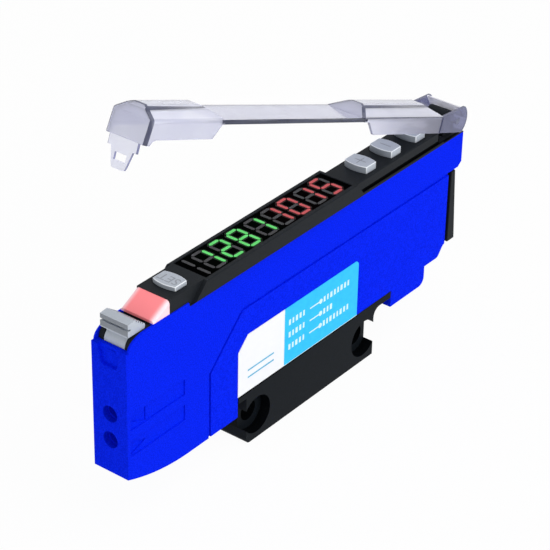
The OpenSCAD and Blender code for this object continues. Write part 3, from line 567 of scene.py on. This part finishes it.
def makeGrooveShadows():
    groove, gap = skirtGroove, flangeGapShadow
    bm = bmesh.new()
    for part in (groove["floor"], groove["wall"], groove["rim"]):
        for side in (-1, 1):
            depth = sorted((side * part["inner"], side * part["outer"]))
            addBlock(bm, (groove["start"], part["end"]), depth, (groove["low"], part["high"]))
    # the rim's outer faces keep the panel black; the floor, the wall and the rim's inner face are painted
    # shadow
    for face in bm.faces:
        if max(abs(v.co.y) for v in face.verts) > groove["outside"] * mm:
            face.material_index = 1
    makePiece("skirt_groove_shadow_and_rim", bm, [grooveShadow, panelBlack], "amplifier")
    bm = bmesh.new()
    # painted shadow line under the label
    addBlock(bm, gap["long"], gap["depth"], gap["tall"])
    makePiece("flange_gap_shadow", bm, [grooveShadow], "amplifier")


makeGrooveShadows()

# faint light on the display round the lit bars
barHalo = {"width": 0.26, "low": 33.04, "high": 33.06, "merge": 0.001, "skin": 0.01}


def grownOutline(points, width):
    middle = sum(points, Vector((0, 0))) / len(points)
    ring = sorted(points, key=lambda p: math.atan2(p.y - middle.y, p.x - middle.x))
    grown = []
    for i, point in enumerate(ring):
        a = (point - ring[i - 1]).normalized()
        b = (ring[(i + 1) % len(ring)] - point).normalized()
        first, second = Vector((a.y, -a.x)), Vector((b.y, -b.x))
        grown.append(point + (first + second) * (width * mm / (1 + first.dot(second))))
    return grown


def segmentHalo(name, node, material):
    look = barHalo
    source = bmesh.new()
    source.from_mesh(node.data)
    bmesh.ops.transform(source, matrix=node.matrix_world, verts=source.verts)
    bmesh.ops.remove_doubles(source, verts=source.verts, dist=look["merge"] * mm)
    top = max(v.co.z for v in source.verts) - look["skin"] * mm
    bm = bmesh.new()
    left = set(source.verts)
    while left:
        bar = [left.pop()]
        for vert in bar:  # the list grows while it is walked
            joined = {e.other_vert(vert) for e in vert.link_edges} & left
            left -= joined
            bar += joined
        ring = grownOutline([v.co.xy for v in bar if v.co.z > top], look["width"])
        face = bm.faces.new([bm.verts.new((p.x, p.y, look["low"] * mm)) for p in ring])
        extrudeFaces(bm, [face], (0, 0, (look["high"] - look["low"]) * mm))
    source.free()
    pointOut(bm)
    makePiece(name, bm, [material], "amplifier")


segmentHalo("green_halo", nodes["segments_green"], haloGreen)
segmentHalo("red_halo", nodes["segments_red"], haloRed)
print("stage: display lit")

# key caps with bowed sides and bright rims; the sides carry painted shade and the rims a painted highlight
keyCap = {"half": 2.05, "length": 2.4, "bulge": 0.4, "low": 32.2, "high": 33.82, "rim": 0.1, "steps": 24,
          "near": 0.01, "bowed": 0.7,
          "places": {"set_key": 12.7, "plus_key": 56.7, "minus_key": 63.1, "mode_key": 69.5}}


def capOutline():
    half, bulge, steps = keyCap["half"], keyCap["bulge"], keyCap["steps"]
    radius = (half ** 2 + bulge ** 2) / (2 * bulge)
    rows = [half * (2 * i / steps - 1) for i in range(steps + 1)]
    side = [(keyCap["length"] / 2 + bulge - radius + math.sqrt(radius ** 2 - y ** 2), y) for y in rows]
    return side + [(-x, y) for x, y in side[::-1]]


def keyCaps():
    look = keyCap
    tall = look["high"] - look["low"]
    for name, place in look["places"].items():
        bm = bmesh.new()
        foot = bm.faces.new([bm.verts.new(inFrame(place + x, y, look["low"])) for x, y in capOutline()])
        raised = extrudeFaces(bm, [foot], (0, 0, tall * mm))
        pointOut(bm)
        top = [e for e in bm.edges if all(v in raised for v in e.verts)]
        upright = [e for e in bm.edges if abs(e.verts[0].co.z - e.verts[1].co.z) > tall / 2 * mm
                   and abs(e.verts[0].co.y) > (look["half"] - look["near"]) * mm]
        bevelEdges(bm, top + upright, look["rim"], 2)
        bm.normal_update()
        for face in bm.faces:
            # painted shade on the bowed sides, the faces towards the front and back
            if face.material_index == 0 and abs(face.normal.x) > look["bowed"]:
                face.material_index = 2
        piece = makePiece(name + "_cap", bm, [keyGrey, keyRimHighlight, keySideShade], name)
        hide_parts(name)


keyCaps()

# marks on the keys, as bars along (0) or across (1) the case
keyMarks = {"thick": 0.012, "sink": 0.02, "line": 0.17, "long": 2.0, "letterSize": 2.25,
            "signs": {"plus_key": (0, 1), "minus_key": (1,), "mode_key": (0,)}}


def keyWord():
    look = keyMarks
    curve = bpy.data.curves.new("set_word", "FONT")
    curve.body = "SET"
    curve.size = look["letterSize"] * mm
    curve.align_x = "CENTER"
    curve.align_y = "CENTER"
    curve.extrude = look["thick"] / 2 * mm
    curve.resolution_u = 3
    holder = bpy.data.objects.new("set_word_curve", curve)
    bpy.context.scene.collection.objects.link(holder)
    bpy.context.view_layer.update()
    mesh = bpy.data.meshes.new_from_object(holder.evaluated_get(bpy.context.evaluated_depsgraph_get()))
    bpy.data.objects.remove(holder)
    bpy.data.curves.remove(curve)
    spot = inFrame(keyCap["places"]["set_key"], 0, keyCap["high"])
    mesh.transform(Matrix.Translation(spot) @ Matrix.Rotation(math.radians(90), 4, "Z"))
    bm = bmesh.new()
    bm.from_mesh(mesh)
    bpy.data.meshes.remove(mesh)
    makePiece("set_word", bm, [markGrey], "set_key")


def keySigns():
    look = keyMarks
    level = (keyCap["high"] - look["sink"], keyCap["high"] + look["thick"])
    for body, turns in look["signs"].items():
        place = keyCap["places"][body]
        bm = bmesh.new()
        for across in turns:
            a, b = look["long"] / 2, look["line"] / 2
            if across:
                a, b = b, a
            addBlock(bm, (place - a, place + a), (-b, b), level)
        makePiece(body + "_sign", bm, [markGrey], body)


keyWord()
keySigns()
print("stage: keys marked")

# clear dust cover, drawn closed and then turned open
coverShape = {"pin": (77.5, 33.25), "open": 21.3, "half": 3.5, "inner": 3.05, "wall": 0.45, "shoulder": 33.95,
              "top": 35.42, "slope": 1.5, "crown": 0.9, "camber": 3, "strip": 33.3, "skirt": 31.35,
              "fine": 0.08, "brow": 0.2, "merge": 0.02}
frontHood = {"skirt": ((15.9, 33.3), (15.4, 33.3), (13.87, 31.35), (1.7, 31.35), (1.1, 31.15), (0.6, 30.6),
                       (-0.34, 30.6)),
             "front": (0.05, 0.45, 1.0, 1.2), "frontHalf": (3.5, 2.0, 1.3, 0.9),
             "rear": (15.9, 13.3, 12.9, 12.6), "rearHalf": (3.5, 1.75, 1.45, 0.9),
             "band": 0.46, "round": 0.35, "roundFinish": 2}
rearHood = {"skirt": ((73.0, 31.35), (53.8, 31.35), (51.9, 33.3), (50.2, 33.3)),
            "front": (50.2, 51.9, 52.4, 52.7), "frontHalf": (3.5, 1.95, 1.35, 0.9),
            "rear": (73.0, 70.2, 69.8, 69.5), "rearHalf": (3.5, 1.9, 1.4, 0.9),
            "band": 0.4, "round": 0.08, "roundFinish": 1}


def turnOpen(bm):
    pin = inFrame(coverShape["pin"][0], 0, coverShape["pin"][1])
    swing = Matrix.Rotation(math.radians(coverShape["open"]), 4, "Y")
    turn = Matrix.Translation(pin) @ swing @ Matrix.Translation(-pin)
    bmesh.ops.transform(bm, matrix=turn, verts=bm.verts)


def ridgeHeight(half):
    look = coverShape
    return min(look["shoulder"] + (look["half"] - half) / look["slope"],
               look["top"] - (half - look["crown"]) / look["camber"])


def addHood(bm, hood):
    half, band = coverShape["half"], hood["band"]
    front, rear, foot, corner = {}, {}, {}, {}
    dark, plain = [], []
    brows = list(zip(hood["front"], hood["frontHalf"]))
    last = len(hood["skirt"]) - 1
    for s in (-1, 1):
        rear[s] = [bm.verts.new(inFrame(x, s * y, ridgeHeight(y)))
                   for x, y in zip(hood["rear"], hood["rearHalf"])]
        front[s] = [bm.verts.new(inFrame(x + (band if i < 2 else 0), s * y, ridgeHeight(y)))
                    for i, (x, y) in enumerate(brows)]
        foot[s] = [bm.verts.new(inFrame(x + (band if i == last else 0), s * half, z))
                   for i, (x, z) in enumerate(hood["skirt"])]
        x, z = hood["skirt"][-1]
        corner[s] = [bm.verts.new(inFrame(x, s * (half - band), z))]
        corner[s] += [bm.verts.new(inFrame(x, s * (y - band), ridgeHeight(y))) for x, y in brows[:2]]
        plain.append(bm.faces.new([front[s][0], rear[s][0]] + foot[s]))
        sides = [bm.faces.new([front[s][i], front[s][i + 1], rear[s][i + 1], rear[s][i]]) for i in (0, 1, 2)]
        dark.append(sides[1])  # painted shade along the rounded ridge
        dark.append(bm.faces.new([corner[s][0], foot[s][-1], front[s][0], corner[s][1]]))
        dark.append(bm.faces.new([corner[s][1], front[s][0], front[s][1], corner[s][2]]))
        dark.append(bm.faces.new([corner[s][2], front[s][1], front[s][2]]))
    bm.faces.new([front[-1][3], front[1][3], rear[1][3], rear[-1][3]])
    bm.faces.new(rear[-1] + rear[1][::-1])
    plain.append(bm.faces.new(corner[-1][:2] + corner[1][1::-1]))
    plain.append(bm.faces.new(corner[-1][1:] + front[-1][2:] + front[1][:1:-1] + corner[1][:0:-1]))
    for face in plain:
        face.material_index = 2
    for face in dark:
        face.material_index = 1
        face.smooth = True
    fine = [(rear[-1][3], rear[1][3])] + [(rear[s][0], rear[s][1]) for s in (-1, 1)]
    brow = [(front[-1][3], front[1][3])] + [(front[s][2], front[s][3]) for s in (-1, 1)]
    shoulder = [(front[s][0], rear[s][0]) for s in (-1, 1)]
    return [[bm.edges.get(pair) for pair in pairs] for pairs in (fine, brow, shoulder)]


def coverHoods():
    look = coverShape
    bm = bmesh.new()
    hoods = (frontHood, rearHood)
    fine, brow, shoulders = zip(*[addHood(bm, hood) for hood in hoods])
    pointOut(bm)
    bevelEdges(bm, brow[0] + brow[1], look["brow"], 2)
    for hood, shoulder in zip(hoods, shoulders):
        for face in bevelEdges(bm, shoulder, hood["round"], 3, hood["roundFinish"]):
            if max(v.co.x for v in face.verts) - min(v.co.x for v in face.verts) < mm:
                face.material_index = 1  # the ends lie in the band of painted shade
    bevelEdges(bm, [e for e in fine[0] + fine[1] if e.is_valid], look["fine"], 2)
    bmesh.ops.dissolve_degenerate(bm, dist=look["merge"] * mm, edges=bm.edges)
    turnOpen(bm)
    piece = makePiece("cover_hoods", bm, [wallClear, edgeShadeClear, skirtClear], "cover")
    wall = piece.modifiers.new("wall", "SOLIDIFY")
    wall.thickness = look["wall"] * mm
    wall.offset = -1
    wall.use_even_offset = True
    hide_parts("dust_cover")


hingeArm = {"start": 72.6, "eye": 2.68, "hole": 0.55, "turn": (-42, 62), "steps": 12, "inset": 0.02,
            "plate": ((77.95, 35.5), (77.62, 35.42), (79.68, 33.75), (79.96, 33.98))}


def coverArms():
    look, arm = coverShape, hingeArm
    bm = bmesh.new()
    eye = arcPoints(look["pin"], arm["eye"], *arm["turn"], arm["steps"])
    outline = [(arm["start"], look["skirt"] + arm["inset"])] + eye
    outline += [(arm["start"], look["shoulder"] - arm["inset"])]
    hole = ringPoints(look["pin"], arm["hole"])
    for side in (-1, 1):
        addPlate(bm, [outline, hole], lambda x, z: inFrame(x, side * look["half"], z),
                 (0, -side * look["wall"] * mm, 0))
    pointOut(bm)
    turnOpen(bm)
    makePiece("cover_arms", bm, [hingeClear], "cover")
    bm = bmesh.new()
    addPlate(bm, [arm["plate"]], lambda x, z: inFrame(x, -look["inner"], z), (0, 2 * look["inner"] * mm, 0))
    pointOut(bm)
    turnOpen(bm)
    makePiece("cover_end", bm, [endClear], "cover")


coverStrip = {"start": 15.2, "end": 51.2, "edge": 0.15}


def makeStrip():
    look, strip = coverShape, coverStrip
    bm = bmesh.new()
    addBlock(bm, (strip["start"], strip["end"]), (-look["half"], look["half"]),
             (look["strip"], look["shoulder"]))
    long = [e for e in bm.edges if abs(e.verts[0].co.x - e.verts[1].co.x) > mm]
    bevelEdges(bm, long, strip["edge"], 4)
    for face in bm.faces:
        if abs(face.normal.y) > 0.5:  # the two sides, in painted shade
            face.material_index = 1
    turnOpen(bm)
    makePiece("cover_strip", bm, [stripClear, stripSideShade], "cover")


# half of the tongue's outline, with the window's edge, from its middle line
latchTongue = {"front": -0.34, "back": 0.1, "half": 2.5, "tall": (29.2, 30.66), "edge": 0.12, "inset": 0.02,
               "outline": ((0, 29.24), (1.85, 29.24), (1.27, 26.97), (1.1, 26.53), (0.765, 26.42), (0, 26.42),
                           (0, 27.5), (1.0, 27.5), (1.0, 28.55), (0, 28.55))}


def coverTongue():
    look = latchTongue
    bm = bmesh.new()
    addBlock(bm, (look["front"], look["back"]), (-look["half"], look["half"]), look["tall"])
    upright = [e for e in bm.edges if abs(e.verts[0].co.z - e.verts[1].co.z) > mm]
    bevelEdges(bm, upright, look["edge"], 2)
    near, far = look["front"] + look["inset"], look["back"] - look["inset"]
    middle = [bm.verts.new(inFrame(near, 0, z)) for y, z in look["outline"] if y == 0]
    halves = []
    for side in (-1, 1):
        shared = iter(middle)
        halves.append(bm.faces.new([next(shared) if y == 0 else bm.verts.new(inFrame(near, side * y, z))
                                    for y, z in look["outline"]]))
    extrudeFaces(bm, halves, ((far - near) * mm, 0, 0))
    pointOut(bm)
    for face in bm.faces:
        if face.normal.y < -0.5:  # the sides towards the label
            face.material_index = 1
    turnOpen(bm)
    makePiece("cover_tongue", bm, [tongueClear, hingeClear], "cover")


coverHoods()
coverArms()
makeStrip()
coverTongue()
print("stage: cover made")

# floor, light and camera
floorLook = {"half": 3.0, "drop": 0.05, "white": 0.96, "colour": (0.85, 0.85, 0.86)}


def makeFloor(look):
    bm = bmesh.new()
    bmesh.ops.create_grid(bm, x_segments=1, y_segments=1, size=look["half"],
                          matrix=Matrix.Translation((0, 0, -look["drop"] * mm)))
    mesh = bpy.data.meshes.new("floor")
    bm.to_mesh(mesh)
    bm.free()
    floor = bpy.data.objects.new("floor", mesh)
    bpy.context.scene.collection.objects.link(floor)
    material, tree, shader = startMaterial("floorPale")
    setInputs(shader, {"Base Color": (*look["colour"], 1), "Roughness": 1.0, "Specular IOR Level": 0.0})
    white = addNode(tree, "ShaderNodeEmission", Strength=1.0)
    share = tree.nodes.new("ShaderNodeMath")
    share.operation = "MULTIPLY"
    share.inputs[1].default_value = look["white"]
    tree.links.new(seenRays(tree), share.inputs[0])
    surface = mixShaders(tree, share.outputs["Value"], shader.outputs["BSDF"], white.outputs["Emission"])
    tree.links.new(surface, tree.nodes["Material Output"].inputs["Surface"])
    mesh.materials.append(material)


skyLook = {"light": 0.45, "colour": (1.0, 1.0, 1.0)}


def makeSky(look):
    world = bpy.data.worlds.new("studio")
    bpy.context.scene.world = world
    world.use_nodes = True
    tree = world.node_tree
    tree.nodes.clear()
    light = addNode(tree, "ShaderNodeBackground", Color=(*look["colour"], 1), Strength=look["light"])
    white = addNode(tree, "ShaderNodeBackground", Color=(1, 1, 1, 1), Strength=1.0)
    out = tree.nodes.new("ShaderNodeOutputWorld")
    sky = mixShaders(tree, seenRays(tree), light.outputs["Background"], white.outputs["Background"])
    tree.links.new(sky, out.inputs["Surface"])


lamps = {"side": {"place": (0.15, -0.75, 0.2), "size": 0.5, "power": 3.0},
         "front": {"place": (-0.7, -0.1, 0.1), "size": 0.4, "power": 1.7},
         "over": {"place": (0.1, -0.3, 0.75), "size": 0.6, "power": 2.5}}
lampAim = Vector((0, 0, 0.03))


def makeLamps():
    for name, look in lamps.items():
        light = bpy.data.lights.new(name, "AREA")
        light.size = look["size"]
        light.energy = look["power"]
        lamp = bpy.data.objects.new(name, light)
        lamp.location = look["place"]
        lamp.rotation_euler = (lampAim - lamp.location).to_track_quat("-Z", "Y").to_euler()
        bpy.context.scene.collection.objects.link(lamp)


cameraLook = {"place": (-226.91, -169.76, 194.28), "right": (0.6170, -0.7868, 0.0176),
              "up": (0.4020, 0.3343, 0.8524), "lens": 146.73, "sensor": 36.0}


def makeCamera(look):
    right, up = Vector(look["right"]).normalized(), Vector(look["up"])
    up = (up - right * right.dot(up)).normalized()
    turn = Matrix((right, up, right.cross(up))).transposed().to_4x4()
    data = bpy.data.cameras.new("view")
    data.lens = look["lens"]
    data.sensor_width = look["sensor"]
    data.clip_start = 0.01
    camera = bpy.data.objects.new("view", data)
    camera.matrix_world = Matrix.Translation(Vector(look["place"]) * mm) @ turn
    bpy.context.scene.collection.objects.link(camera)
    bpy.context.scene.camera = camera


makeFloor(floorLook)
makeSky(skyLook)
makeLamps()
makeCamera(cameraLook)
bpy.context.scene.view_settings.view_transform = "Standard"
print("stage: floor, light and camera set")
